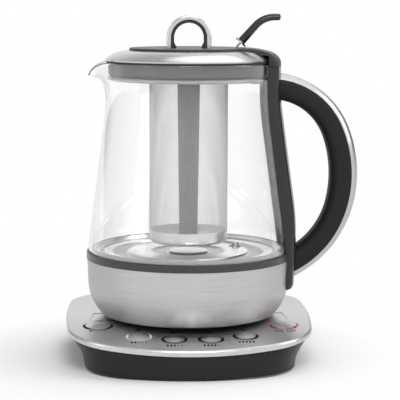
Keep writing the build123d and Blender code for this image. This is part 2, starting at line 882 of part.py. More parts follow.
def handle_edge(reach, upper, lower, run_in=0.0):
    """One edge of the handle: two arcs up and two down, which end inside the spine."""
    apex = (reach, ring(handle_apex))
    upper_x = glass_neck_radius + spine_proud - handle_upper_end - run_in
    lower_x = cup_side_radius - handle_lower_end - run_in
    lines = []
    for up, (first_radius, first_turn, last_radius), end_x in ((1, upper, upper_x), (-1, lower, lower_x)):
        first = JernArc(apex, (0, up), first_radius, up * first_turn)
        left = ((first @ 1).X - end_x) / last_radius
        whole_turn = degrees(acos(max(-0.5, cos(radians(first_turn)) - left)))
        last = JernArc(first @ 1, first % 1, last_radius, up * (whole_turn - first_turn))
        lines += [first, last]
    return lines


def handle_region(reach, upper, lower):
    """Everything on the kettle's side of such an edge, as wide as the handle and more."""
    lines = handle_edge(reach, upper, lower, handle_thickness)
    top, bottom = lines[1] @ 1, lines[3] @ 1
    outline = Curve() + lines + [
        Line((top.X, top.Y), (0, top.Y)), Line((0, top.Y), (0, bottom.Y)),
        Line((0, bottom.Y), (bottom.X, bottom.Y))]
    return side_profile(outline, handle_width)


def handle_blank():
    outer = handle_edge(handle_reach, outer_upper, outer_lower)
    inner = handle_edge(handle_reach - handle_thickness, inner_upper, inner_lower)
    outline = Curve() + outer + inner
    for end in (1, 3):
        far, near = outer[end] @ 1, inner[end] @ 1
        outline += Line((far.X, far.Y), (near.X, near.Y))
    blank = side_profile(outline, handle_width / 2)
    long_edges = [e for e in blank.edges() if e.geom_type == GeomType.CIRCLE]
    return fillet(long_edges, handle_round)


def grip_region():
    """Side of the line between the soft grip and the trim on which the grip lies."""
    return handle_region(handle_reach - trim_thickness, grip_upper, grip_lower)


def handle_grip():
    """Soft body of the handle, which ends on the spine's surface."""
    return (handle_blank() & grip_region()) - spine_envelope()


def handle_trim():
    """Hard strip along the outside of the handle."""
    return (handle_blank() - grip_region()) - spine_envelope()


# ---------------------------------------------------------------- lid
def lid_top_line(drop):
    """Dome of the lid from the rim's edge to the crown, lowered by drop."""
    rim = (lid_rim_radius, ring(lid_rim_level) + lid_rim_height * 0.45 - drop)
    mid = (lid_rim_radius - dome_bulge[0], ring(lid_crown_level) - dome_bulge[1] - drop)
    crown = (lid_crown_radius, ring(lid_crown_level) - drop)
    return rim, mid, crown


def lid_shell():
    """Steel dome with a turned-under rim and a flat crown under the hub."""
    rim, mid, crown = lid_top_line(0.0)
    rim_in, mid_in, crown_in = lid_top_line(lid_sheet * 1.2)
    foot = ring(lid_rim_level)
    edge_in = lid_rim_radius - 1.6
    return turned(
        ThreePointArc(rim, mid, crown), Line(crown, (0, crown[1])),
        Line((0, crown[1]), (0, crown[1] - lid_sheet)),
        Line((0, crown[1] - lid_sheet), (crown_in[0], crown[1] - lid_sheet)),
        ThreePointArc((crown_in[0], crown[1] - lid_sheet), (mid_in[0], mid_in[1]),
                      (edge_in, rim_in[1])),
        Line((edge_in, rim_in[1]), (edge_in, foot)), Line((edge_in, foot), (rim[0] - 0.6, foot)),
        Line((rim[0] - 0.6, foot), rim)) - lever_boss_room(boss_gap) - loop_screw_holes()


def lid_solid():
    """The lid's outside, filled, for cutting what sits on it."""
    rim, mid, crown = lid_top_line(0.0)
    foot = ring(lid_rim_level)
    return turned(ThreePointArc(rim, mid, crown), Line(crown, (0, crown[1])),
                  Line((0, crown[1]), (0, foot)), Line((0, foot), (rim[0] - 0.6, foot)),
                  Line((rim[0] - 0.6, foot), rim))


def lever_boss_room(gap):
    """Block under the hub in which the lever's pin lies, or the room for it, wider by gap."""
    half = pin_length / 2 + boss_wall + gap
    bottom = ring(hub_level) - boss_depth
    return block((lever_pin_x - boss_back - gap, lever_pin_x + boss_front + gap),
                 (-half, half), (bottom - gap, ring(hub_level) - hub_edge))


def loop_screw_holes():
    holes = []
    for side in (-1, 1):
        holes.append(Pos(side * (loop_radius - loop_thickness / 2), 0, 0)
                     * disc(loop_screw_radius + pin_gap, ring(lid_rim_level), ring(hub_level)))
    return holes[0] + holes[1]


def lid_hub():
    """Hub on the crown and the arm that runs from it over the handle side of the rim."""
    crown, top = ring(lid_crown_level), ring(hub_level)
    reach, low = arm_reach, ring(arm_lip)
    inside = lid_rim_radius + arm_rim_gap
    level_end = lid_crown_radius + 1.0
    skirt = crown - arm_depth
    outline = Curve() + [
        Line((0, top), (level_end, top)),
        Spline((level_end, top), (lid_rim_radius - arm_crest[0], top - arm_crest[1]),
               (reach - arm_shoulder[0], top - arm_shoulder[1]),
               (reach - arm_brow[0], top - arm_brow[1]), (reach, low), tangents=[(1, 0), (0.05, -1)]),
        Line((reach, low), (inside, low)), Line((inside, low), (inside, skirt)),
        Line((inside, skirt), (0, skirt)), Line((0, skirt), (0, top))]
    body = revolve(make_face(Plane.XZ * outline), Axis.Z)
    body &= Pos(0, 0, low) * extrude(hub_plan(), top + through - low)
    upper = [e for e in body.edges() if is_hub_top(e)]
    body = fillet(upper, hub_edge)
    cover = body - lid_solid()
    cover += lever_boss_room(0.0) & disc(lid_crown_radius, 0, top)
    cover -= lever_slot()
    return cover - lever_pin() - loop_screw_holes()


def hub_plan():
    """Round hub and its arm from above, blended where they meet."""
    far = arm_reach + through
    half = far * tan(radians(arm_half_angle))
    wedge = make_face(Polyline((0, 0), (far, -half), (far, half), close=True))
    plan = Circle(lid_crown_radius) + wedge
    meet = [v for v in plan.vertices() if abs(sqrt(v.X ** 2 + v.Y ** 2) - lid_crown_radius) < 0.1
            and v.X > 0 and abs(v.Y) > 5.0]
    return fillet(meet, arm_blend)


def is_hub_top(edge):
    """Upper edges of hub and arm along their outline, without the seam between level and slope."""
    middle = edge @ 0.5
    on_seam = middle.X > 0 and abs(middle.Y) < 1.0
    return edge.geom_type != GeomType.LINE and middle.Z > ring(arm_outline_level) and not on_seam


def lever_slot():
    """Slot in the boss, long enough for the rod to swing from its lean to upright."""
    low = ring(lever_pin_z) - eye_radius - 2 * eye_gap
    high = ring(hub_level) + through
    rise = hub_level + 1.0 - lever_pin_z
    run = rise / tan(radians(lever_lean)) + rod_radius + slot_clearance
    return block((lever_pin_x - slot_back, lever_pin_x + run), (-slot_half_width, slot_half_width),
                 (low, high))


def lever_pin():
    pin = Rot(90, 0, 0) * Cylinder(pin_radius, pin_length)
    return Pos(lever_pin_x, 0, ring(lever_pin_z)) * pin


def lid_plug():
    """Hollow plastic plug that fills the neck and holds the infuser's collar."""
    bottom, top = ring(plug_bottom), ring(lid_rim_level)
    bore = basket_collar_radius + collar_bore_gap
    plug = disc(plug_radius, bottom, top)
    plug = fillet(plug.edges().group_by(Axis.Z)[0], plug_toe)
    plug -= tube(plug_radius - plug_wall, bore + bore_wall, bottom + plug_toe, top)
    plug -= disc(bore, bottom, top)
    plug += disc(plug_radius, top, top + plug_roof)
    for angle in plug_post_angles:
        post = Rot(0, 0, angle) * Pos(plug_post_spread, 0, 0)
        plug += post * disc(plug_post_radius, top, ring(lid_crown_level) - lid_sheet)
    return plug - bayonet_groove()


def bayonet_groove():
    """Groove in the plug's bore for the collar's two lugs, and the slots that they enter by."""
    low = ring(plug_bottom)
    inner, outer = basket_collar_radius - lug_root, lug_reach + collar_bore_gap
    half = lug_width / 2 + lug_side_gap
    groove = tube(outer, inner, low + lug_rise - lug_gap, low + lug_rise + lug_height + lug_gap)
    entry = block((inner, outer), (-half, half), (low - through, low + lug_rise + lug_gap))
    for angle in lug_angles:
        groove += Rot(0, 0, angle + twist_angle) * entry
    return groove


def seat_seal():
    """Black ring between the lid's rim and the top of the glass."""
    low = ring(glass_top) + seal_seat_gap
    return tube(glass_neck_radius - 0.4, plug_radius, low, ring(lid_rim_level))


def lid_gasket():
    """Clear silicone ring under the plug, with a lip towards the glass."""
    low, high = ring(gasket_bottom), ring(plug_bottom)
    inner, neck = plug_radius - gasket_width, plug_radius - gasket_neck
    return turned_polygon(
        (neck, high), (inner, high), (inner, low), (plug_radius - gasket_lip, low),
        (gasket_radius, low + gasket_lip), (gasket_radius, low + 1.6 * gasket_lip),
        (neck, low + gasket_lip))


def lid_clip():
    """Small steel clip under the plug on the handle side."""
    low = ring(gasket_bottom) - clip_drop
    outer = plug_radius - gasket_width
    width = (-clip_half_width, clip_half_width)
    stem = block((outer - clip_stem, outer - clip_stem + clip_sheet), width, (low, ring(plug_bottom)))
    foot = block((outer - clip_reach[0], outer + clip_reach[1]), width, (low, low + clip_sheet))
    return stem + foot


def arch(outer, inner, depth, foot):
    """Arch of the lid loop, with straight legs down to foot."""
    centre = ring(loop_top) - loop_radius
    outline = Curve() + [
        CenterArc((0, centre), outer, 0, 180), Line((-outer, centre), (-outer, foot)),
        Line((-outer, foot), (-inner, foot)), Line((-inner, foot), (-inner, centre)),
        CenterArc((0, centre), inner, 0, 180), Line((inner, centre), (inner, foot)),
        Line((inner, foot), (outer, foot)), Line((outer, foot), (outer, centre))]
    return side_profile(outline, depth / 2)


def lid_loop():
    loop = arch(loop_radius, loop_radius - loop_thickness, loop_depth, ring(hub_level))
    rims = [e for e in loop.edges() if e.geom_type == GeomType.CIRCLE and e.radius > loop_radius - 0.1]
    return fillet(rims, loop_round)


def loop_liner_piece():
    """Dark liner inside the loop, with feet that spread inwards on the hub."""
    outer = loop_radius - loop_thickness
    inner = outer - loop_liner
    foot = ring(hub_level)
    liner = arch(outer, inner, liner_depth, foot)
    for side in (-1, 1):
        toe = Polyline((side * inner, foot), (side * (inner - loop_foot_flare), foot),
                       (side * inner, foot + 2 * loop_foot_flare), close=True)
        liner += side_profile(toe, liner_depth / 2)
    return liner


def loop_screws():
    screws = []
    for side in (-1, 1):
        seat = ring(lid_crown_level) - lid_sheet
        head = disc(loop_screw_head, seat - loop_screw_head_height, seat)
        shank = disc(loop_screw_radius, seat, ring(hub_level))
        x = side * (loop_radius - loop_thickness / 2)
        screws.append(Pos(x, 0, 0) * (head + shank))
    return screws


# ---------------------------------------------------------------- lever
def lever_path():
    """Centre line of the lever in the XZ plane, from the end of the rod to its level tip."""
    lean = radians(lever_lean)
    start = (lever_pin_x + rod_length * cos(lean), ring(lever_pin_z) + rod_length * sin(lean))
    straight = Line(start, (start[0] + lever_straight * cos(lean), start[1] + lever_straight * sin(lean)))
    bend = JernArc(straight @ 1, straight % 1, lever_bend, -lever_lean)
    tip = Line(bend @ 1, bend @ 1 + Vector(lever_tip, 0))
    return straight, bend, tip


def lever_rod():
    """Steel rod with an eye on the cross pin and a collar that backs the lever."""
    lean = radians(lever_lean)
    place = Pos(lever_pin_x, 0, ring(lever_pin_z)) * Rot(0, 90 - lever_lean, 0)
    across = Pos(lever_pin_x, 0, ring(lever_pin_z)) * Rot(90, 0, 0)
    rod = place * disc(rod_radius, eye_radius / 2, rod_length + rod_hold)
    eye = across * Cylinder(eye_radius, 2 * (slot_half_width - eye_gap))
    collar = place * disc(collar_radius, rod_length - collar_thickness, rod_length)
    return (rod + eye + collar) - across * Cylinder(pin_radius + pin_gap, pin_length)


def lever_grip():
    """Bent lever that gets slimmer towards its tip."""
    straight, bend, tip = lever_path()
    path = Plane.XZ * (Curve() + [straight, bend, tip])
    sections = []
    for at, size in ((0, lever_root), (1, lever_end)):
        sections.append(Plane(path @ at, x_dir=(0, 1, 0), z_dir=path % at) * Ellipse(*size))
    grip = sweep(sections, path=path, multisection=True)
    grip = fillet(grip.edges().sort_by(Axis.X)[-1], lever_tip_round)
    rod_hole = Pos(lever_pin_x, 0, ring(lever_pin_z)) * Rot(0, 90 - lever_lean, 0)
    return grip - rod_hole * disc(rod_radius, 0, rod_length + rod_hold)


# ---------------------------------------------------------------- infuser
def basket_mesh():
    """Fine steel mesh tube: plain here, open at the top."""
    low, high = ring(basket_band), ring(plug_bottom) - collar_hang
    return tube(basket_radius, basket_radius - basket_wall, low, high)


def basket_cup():
    """Solid steel bottom of the infuser."""
    low, high = ring(basket_bottom), ring(basket_band)
    outer = disc(basket_radius, low, high)
    outer = fillet(outer.edges().group_by(Axis.Z)[0], basket_corner)
    inner = disc(basket_radius - basket_wall, low + basket_wall, high + basket_corner)
    inner = fillet(inner.edges().group_by(Axis.Z)[0], basket_corner - basket_wall)
    return outer - inner


def basket_collar():
    """Collar that hangs the infuser in the plug by two bayonet lugs."""
    low = ring(plug_bottom) - collar_hang
    high = low + basket_collar_height
    collar = disc(basket_collar_radius, low + collar_step, high)
    collar += disc(basket_radius + collar_neck, low, high)
    lug_low = ring(plug_bottom) + lug_rise
    lug = block((basket_collar_radius - lug_root, lug_reach), (-lug_width / 2, lug_width / 2),
                (lug_low, lug_low + lug_height)) & disc(lug_reach, 0, bridge)
    for angle in lug_angles:
        collar += Rot(0, 0, angle) * lug
    return collar - disc(basket_radius - basket_wall, low, high)


def infuser_post():
    """Tapered bar that hangs from the plug down the middle of the basket."""
    top = ring(lid_rim_level)
    low = ring(basket_bottom) + basket_wall + post_bottom_gap
    face = Polyline((-post_top_width / 2, top), (post_top_width / 2, top),
                    (post_bottom_width / 2, low), (-post_bottom_width / 2, low), close=True)
    bar = extrude(make_face(Plane.XZ * face), post_thickness / 2, both=True)
    upright = [e for e in bar.edges() if abs((e % 0.5).Z) > 0.9]
    return fillet(upright, post_round)


# ---------------------------------------------------------------- assembly
def build_parts():
    parts = {
        "lower_housing": lower_housing(),
        "base_cover": base_cover(),
        "rubber_feet": rubber_feet(),
        "base_screws": base_screws(),
        "top_plate": top_plate(),
        "cord_gland": cord_gland(),
        "dock_socket": dock_socket(),
        "dock_contacts": dock_contacts(),
        "control_board": control_board(),
        "steel_cup": steel_cup(),
        "kettle_foot": kettle_foot(),
        "kettle_socket": kettle_socket(),
        "joint_ring": joint_ring(),
        "glass_seal": glass_seal(),
        "glass_vessel": glass_vessel(),
        "heater_plate": heater_plate(),
        "heating_element": heating_element(),
        "temperature_sensor": temperature_sensor(),
        "spine": spine(),
        "handle_grip": handle_grip(),
        "handle_trim": handle_trim(),
        "lid_shell": lid_shell(),
        "lid_hub": lid_hub(),
        "lid_plug": lid_plug(),
        "seat_seal": seat_seal(),
        "lid_gasket": lid_gasket(),
        "lid_clip": lid_clip(),
        "lid_loop": lid_loop(),
        "loop_liner": loop_liner_piece(),
        "loop_screws": loop_screws(),
        "lever_pin": lever_pin(),
        "lever_rod": lever_rod(),
        "lever_grip": lever_grip(),
        "basket_mesh": basket_mesh(),
        "basket_cup": basket_cup(),
        "basket_collar": basket_collar(),
        "infuser_post": infuser_post(),
    }
    switches, bezels = [], []
    for index, place, cap_radius, bezel_radius in button_places():
        last = index == len(button_x) - 1
        name = "power_button" if last else "heat_button_%d" % (index + 1)
        parts[name] = button_cap(place, cap_radius)
        bezel = button_bezel(place, cap_radius, bezel_radius)
        if last:
            parts["power_bezel"] = bezel
        else:
            bezels.append(bezel)
        switches.append(button_switch(place))
    parts["heat_bezels"] = bezels
    parts["button_switches"] = switches
    return parts


def export_parts():
    os.makedirs("parts", exist_ok=True)
    shift = Pos(-centre_x, -centre_y, 0)
    for name, shape in build_parts().items():
        solids = shape if isinstance(shape, list) else [shape]
        moved = [solid for piece in solids for solid in (shift * piece).solids()]
        export_step(moved[0] if len(moved) == 1 else Compound(moved), "parts/%s.step" % name)


export_parts()
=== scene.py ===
"""Looks of the electric tea maker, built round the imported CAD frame. Metres, +Z up."""
from math import cos, hypot, pi, radians, sin

import bmesh
import bpy
from mathutils import Matrix, Vector

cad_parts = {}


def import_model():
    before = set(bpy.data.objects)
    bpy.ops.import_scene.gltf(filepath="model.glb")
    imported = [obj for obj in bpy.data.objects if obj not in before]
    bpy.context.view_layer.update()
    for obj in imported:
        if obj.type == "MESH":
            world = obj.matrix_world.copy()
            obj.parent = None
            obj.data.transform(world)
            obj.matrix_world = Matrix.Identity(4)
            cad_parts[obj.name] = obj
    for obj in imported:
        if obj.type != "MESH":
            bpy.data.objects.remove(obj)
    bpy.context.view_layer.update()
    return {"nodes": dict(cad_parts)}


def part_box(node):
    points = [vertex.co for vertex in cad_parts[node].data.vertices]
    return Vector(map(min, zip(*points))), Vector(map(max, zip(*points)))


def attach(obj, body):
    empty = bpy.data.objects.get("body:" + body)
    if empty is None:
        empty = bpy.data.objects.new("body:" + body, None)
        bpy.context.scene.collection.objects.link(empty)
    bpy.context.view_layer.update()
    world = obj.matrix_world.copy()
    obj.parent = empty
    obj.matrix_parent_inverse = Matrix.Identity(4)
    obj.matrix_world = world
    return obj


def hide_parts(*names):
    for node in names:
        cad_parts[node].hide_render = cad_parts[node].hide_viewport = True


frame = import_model()
nodes = frame["nodes"]

# ---------------------------------------------------------------- places read from the frame
ring_low, ring_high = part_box("joint_ring")
AXIS_X = (ring_low.x + ring_high.x) / 2
AXIS_Y = (ring_low.y + ring_high.y) / 2
RING_TOP = ring_high.z
PLATE_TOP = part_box("top_plate")[1].z


def at_axis(x, y, z):
    """Point given from the kettle's axis and the ring's top edge."""
    return Vector((AXIS_X + x, AXIS_Y + y, RING_TOP + z))


# ---------------------------------------------------------------- mesh helpers
CRISP_ANGLE = radians(60)  # edges that fold by more than this stay crisp


def mesh_piece(name, points, faces, material, body, smooth=True):
    """New mesh object that rides on a body."""
    mesh = bpy.data.meshes.new(name)
    mesh.from_pydata([tuple(p) for p in points], [], faces)
    mesh.validate()
    tidy_normals(mesh)
    piece = bpy.data.objects.new(name, mesh)
    bpy.context.scene.collection.objects.link(piece)
    mesh.materials.append(material)
    if smooth:
        mesh.polygons.foreach_set("use_smooth", [True] * len(mesh.polygons))
    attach(piece, body)
    return piece


def tidy_normals(mesh):
    """Face normals that all point outwards."""
    work = bmesh.new()
    work.from_mesh(mesh)
    bmesh.ops.recalc_face_normals(work, faces=work.faces)
    work.to_mesh(mesh)
    work.free()


def sharpen(piece):
    """Smooth shading on both sides of each strong fold, and not across it."""
    work = bmesh.new()
    work.from_mesh(piece.data)
    for edge in work.edges:
        if len(edge.link_faces) == 2:
            edge.smooth = edge.calc_face_angle(0) < CRISP_ANGLE
    work.to_mesh(piece.data)
    work.free()


def grid_faces(rows, columns):
    """Quads of a closed grid of points stored row by row, whose rows and columns both run round."""
    faces = []
    for i in range(rows):
        for j in range(columns):
            i2, j2 = (i + 1) % rows, (j + 1) % columns
            faces.append((i * columns + j, i * columns + j2, i2 * columns + j2, i2 * columns + j))
    return faces


def rounded_line(points, radii, steps):
    """Polyline of (radius, height) points whose inner corners are rounded by arcs."""
    line = [points[0]]
    for before, corner, after, radius in zip(points, points[1:], points[2:], radii):
        corner = Vector(corner)
        back = (Vector(before) - corner).normalized()
        ahead = (Vector(after) - corner).normalized()
        half = back.angle(ahead) / 2
        reach = radius * cos(half) / sin(half)
        middle = corner + (back + ahead).normalized() * radius / sin(half)
        first = corner + back * reach - middle
        swing = first.angle_signed(corner + ahead * reach - middle)
        for k in range(steps + 1):
            spot = middle + Matrix.Rotation(-swing * k / steps, 2) @ first
            line.append((spot.x, spot.y))
    line.append(points[-1])
    return line


def finely(line, step):
    """The same polyline with points no further apart than step."""
    out = [line[0]]
    for (r0, z0), (r1, z1) in zip(line, line[1:]):
        count = max(1, int(hypot(r1 - r0, z1 - z0) / step))
        for k in range(1, count + 1):
            out.append((r0 + (r1 - r0) * k / count, z0 + (z1 - z0) * k / count))
    return out


# ---------------------------------------------------------------- material helpers
def new_material(name):
    """New material, its node tree and its shader."""
    material = bpy.data.materials.new(name)
    material.use_nodes = True
    tree = material.node_tree
    return material, tree, tree.nodes["Principled BSDF"]


def add(tree, kind, **settings):
    """New node with its settings."""
    node = tree.nodes.new(kind)
    for key, value in settings.items():
        setattr(node, key, value)
    return node


def feed(tree, socket, value):
    """Link a socket to an output, or set it to a constant."""
    if isinstance(value, bpy.types.NodeSocket):
        tree.links.new(value, socket)
    else:
        socket.default_value = value


def calculate(tree, operation, *values):
    """Result of a math node."""
    node = add(tree, "ShaderNodeMath", operation=operation)
    for socket, value in zip(node.inputs, values):
        feed(tree, socket, value)
    return node.outputs[0]


def calculate_vector(tree, operation, *values, result="Vector"):
    """Result of a vector math node."""
    node = add(tree, "ShaderNodeVectorMath", operation=operation)
    for socket, value in zip(node.inputs, values):
        feed(tree, socket, value)
    return node.outputs[result]


def largest(tree, values):
    """The largest of several outputs."""
    total = values[0]
    for value in values[1:]:
        total = calculate(tree, "MAXIMUM", total, value)
    return total


def ramp_between(tree, factor, low, high, low_at=0.0, high_at=1.0):
    """Ramp from low to high as a factor goes from low_at to high_at, level beyond them."""
    ramp = add(tree, "ShaderNodeMapRange")
    ramp.inputs["From Min"].default_value = low_at
    ramp.inputs["From Max"].default_value = high_at
    ramp.inputs["To Min"].default_value = low
    ramp.inputs["To Max"].default_value = high
    tree.links.new(factor, ramp.inputs["Value"])
    return ramp.outputs["Result"]


def mix_colors(tree, factor, low, high):
    """Colour between two constant ones."""
    mix = add(tree, "ShaderNodeMix", data_type="RGBA")
    tree.links.new(factor, mix.inputs["Factor"])
    for socket, value in zip([s for s in mix.inputs if s.type == "RGBA"], (low, high)):
        socket.default_value = value
    return [s for s in mix.outputs if s.type == "RGBA"][0]


def grey(value):
    return (value, value, value, 1.0)


def object_place(tree):
    """Coordinates from the kettle's axis, in metres."""
    place = add(tree, "ShaderNodeTexCoord")
    shift = add(tree, "ShaderNodeMapping")
    shift.inputs["Location"].default_value = (-AXIS_X, -AXIS_Y, 0.0)
    tree.links.new(place.outputs["Object"], shift.inputs["Vector"])
    return shift.outputs["Vector"]


def from_axis(tree, place):
    """The level part of a place, and its distance from the kettle's axis."""
    level = calculate_vector(tree, "MULTIPLY", place, (1.0, 1.0, 0.0))
    return level, calculate_vector(tree, "LENGTH", level, result="Value")


def turned_place(tree, along, across_radius, across_height):
    """Coordinates in which a noise is stretched round the kettle's axis, with no seam."""
    place = object_place(tree)
    level, radius = from_axis(tree, place)
    height = calculate_vector(tree, "DOT_PRODUCT", place, (0.0, 0.0, 1.0), result="Value")
    by_radius = calculate(tree, "MULTIPLY", radius, across_radius)
    lift = add(tree, "ShaderNodeCombineXYZ")
    tree.links.new(calculate(tree, "MULTIPLY_ADD", height, across_height, by_radius), lift.inputs["Z"])
    direction = calculate_vector(tree, "NORMALIZE", level)
    turned = calculate_vector(tree, "MULTIPLY", direction, (along, along, along))
    return calculate_vector(tree, "ADD", turned, lift.outputs[0])


def stretched_place(tree, scale):
    """Coordinates scaled by axis, in which a noise turns into straight lines."""
    return calculate_vector(tree, "MULTIPLY", object_place(tree), scale)


def noise(tree, place, scale=1.0, detail=2.0, roughness=0.5):
    """Value of a smooth noise."""
    texture = add(tree, "ShaderNodeTexNoise")
    texture.inputs["Scale"].default_value = scale
    texture.inputs["Detail"].default_value = detail
    texture.inputs["Roughness"].default_value = roughness
    tree.links.new(place, texture.inputs["Vector"])
    return texture.outputs["Fac"]


def bump(tree, shader, height, strength, distance):
    """Relief of a shader from a height."""
    node = add(tree, "ShaderNodeBump")
    node.inputs["Strength"].default_value = strength
    node.inputs["Distance"].default_value = distance
    tree.links.new(height, node.inputs["Height"])
    tree.links.new(node.outputs["Normal"], shader.inputs["Normal"])


# ---------------------------------------------------------------- materials
NOISE_SPAN = 0.3, 0.7             # between which most values of a noise lie
BRUSH_RELIEF = 0.25, 0.00003      # strength and depth of brushed lines
BAND_SCALE, BAND_WEIGHT = 0.34, 0.6    # broader bands beside the fine lines
BAND_TONES = 0.55, 1.05           # sums of line and band at the darkest and the palest tone
BAND_GLOSS = 0.3, 1.3             # and at the glossiest and the dullest


def brushed_steel(name, place_of, tone, roughness, anisotropy=0.5, radial=True, metallic=1.0, lines=0.08):
    """Satin steel: fine brushing lines, broader bands and a little unevenness."""
    material, tree, shader = new_material(name)
    fine = noise(tree, place_of(tree, 1.0), detail=3.0, roughness=0.65)
    broad = noise(tree, place_of(tree, BAND_SCALE), detail=1.5)
    shader.inputs["Metallic"].default_value = metallic
    shader.inputs["Anisotropic"].default_value = anisotropy
    shader.inputs["Anisotropic Rotation"].default_value = 0.25
    both = calculate(tree, "MULTIPLY_ADD", broad, BAND_WEIGHT, fine)
    shade = ramp_between(tree, both, 0.0, 1.0, *BAND_TONES)
    colour = mix_colors(tree, shade, grey(tone * (1 - lines)), grey(tone * (1 + lines)))
    tree.links.new(colour, shader.inputs["Base Color"])
    rough = ramp_between(tree, both, roughness * 0.75, roughness * 1.3, *BAND_GLOSS)
    tree.links.new(rough, shader.inputs["Roughness"])
    bump(tree, shader, fine, *BRUSH_RELIEF)
    if radial:
        tangent = add(tree, "ShaderNodeTangent", direction_type="RADIAL", axis="Z")
        tree.links.new(tangent.outputs["Tangent"], shader.inputs["Tangent"])
    return material


# inner and outer radii of the rings pressed into the jug's floor
FLOOR_GROOVES = ((0.0162, 0.0283), (0.0474, 0.0586), (0.0655, 0.0690))
GROOVE_EDGE = 0.8, 1.1            # where a ring's painted shade fades, in half widths from its middle
# tone of the steel, and the darker tone painted into the grooves as shade
FLOOR_STEEL_TONE, GROOVE_SHADE_TONE = 0.84, 0.30
FLOOR_STEEL_GLOSS = 0.14, 0.26    # smoothest and roughest
FLOOR_STEEL_LINES = 4.0, 1600.0, 0.0    # round the axis, and across by radius and by height


def floor_steel(name):
    """Satin steel of the jug's floor, with painted shade in the grooves pressed into it."""
    material, tree, shader = new_material(name)
    shader.inputs["Metallic"].default_value = 1.0
    away = from_axis(tree, object_place(tree))[1]
    # painted shade: the steel's colour darkens along each pressed ring
    groove_shades = []
    for start, end in FLOOR_GROOVES:
        off = calculate(tree, "ABSOLUTE", calculate(tree, "SUBTRACT", away, (start + end) / 2))
        half = (end - start) / 2
        groove_shades.append(ramp_between(tree, off, 1.0, 0.0, *(half * edge for edge in GROOVE_EDGE)))
    tone = mix_colors(tree, largest(tree, groove_shades), grey(FLOOR_STEEL_TONE), grey(GROOVE_SHADE_TONE))
    tree.links.new(tone, shader.inputs["Base Color"])
    fine = noise(tree, turned_place(tree, *FLOOR_STEEL_LINES), detail=3.0, roughness=0.6)
    tree.links.new(ramp_between(tree, fine, *FLOOR_STEEL_GLOSS, *NOISE_SPAN), shader.inputs["Roughness"])
    bump(tree, shader, fine, *BRUSH_RELIEF)
    return material


FINE_TEXTURE, SOFT_CLOUDS = 1400.0, 35.0      # scales of a plastic's noises
CLOUD_SPREAD, STREAK_SPREAD = 0.08, 0.35      # how far its tone departs from the mean
COAT_ROUGHNESS = 0.12


def moulded(name, tone, roughness=0.42, grain=0.00004, coat=0.0, tint=(1, 1, 1), specular=0.5,
            streaks=None):
    """Moulded plastic with a fine texture and slight unevenness of tone."""
    material, tree, shader = new_material(name)
    place = object_place(tree)
    if streaks:
        spread, broad = STREAK_SPREAD, noise(tree, turned_place(tree, *streaks))
    else:
        spread, broad = CLOUD_SPREAD, noise(tree, place, scale=SOFT_CLOUDS)
    low, high = (tuple(tone * share * c for c in tint) + (1.0,) for share in (1 - spread, 1 + spread))
    tree.links.new(mix_colors(tree, broad, low, high), shader.inputs["Base Color"])
    shader.inputs["Specular IOR Level"].default_value = specular
    fine = noise(tree, place, scale=FINE_TEXTURE)
    rough = ramp_between(tree, fine, roughness * 0.85, roughness * 1.15, *NOISE_SPAN)
    tree.links.new(rough, shader.inputs["Roughness"])
    shader.inputs["Coat Weight"].default_value = coat
    shader.inputs["Coat Roughness"].default_value = COAT_ROUGHNESS
    bump(tree, shader, fine, 0.3, grain)
    return material


LIT_BUTTON = "heat_button_2"
LIT_REACH = 0.0115, 0.0125        # distance from that button's middle at which the light ends
# LIT_RING is painted light: a pale colour stands in for the glow of the lit ring
DARK_RING, LIT_RING = 0.006, 0.80
RING_GLOSS = 0.45, 0.60
HAZE_SCALE = 900.0                # of the fine noise in rings and silicone


def light_rings(name):
    """Smoked rings round the heat buttons, of which one is lit."""
    material, tree, shader = new_material(name)
    place = add(tree, "ShaderNodeTexCoord").outputs["Object"]
    across = calculate_vector(tree, "DOT_PRODUCT", place, (1.0, 0.0, 0.0), result="Value")
    low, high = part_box(LIT_BUTTON)
    off = calculate(tree, "ABSOLUTE", calculate(tree, "SUBTRACT", across, (low.x + high.x) / 2))
    # painted light: the ring round LIT_BUTTON is pale, as if glowing
    lit = ramp_between(tree, off, 1.0, 0.0, *LIT_REACH)
    tree.links.new(mix_colors(tree, lit, grey(DARK_RING), grey(LIT_RING)), shader.inputs["Base Color"])
    fine = noise(tree, object_place(tree), scale=HAZE_SCALE)
    tree.links.new(ramp_between(tree, fine, *RING_GLOSS, *NOISE_SPAN), shader.inputs["Roughness"])
    shader.inputs["Specular IOR Level"].default_value = 0.12
    return material


def polished(name, tone, roughness, tint=(1, 1, 1), grain=240.0):
    """Plated or polished metal with faint wipe marks."""
    material, tree, shader = new_material(name)
    marks = noise(tree, object_place(tree), scale=grain, detail=3.0)
    shader.inputs["Metallic"].default_value = 1.0
    low, high = (tuple(tone * share * c for c in tint) + (1.0,) for share in (0.95, 1.0))
    tree.links.new(mix_colors(tree, marks, low, high), shader.inputs["Base Color"])
    rough = ramp_between(tree, marks, roughness * 0.7, roughness * 1.6, 0.35, 0.7)
    tree.links.new(rough, shader.inputs["Roughness"])
    return material


CLEAR_TONE, CLEAR_SPREAD = 0.985, 0.004
WAVE_SCALE, WAVE_RELIEF = 22.0, (0.05, 0.0002)    # of blown glass
EDGE_SHADE_SLANT = 0.62, 0.80           # Layer Weight between which painted shade darkens glass seen edge on
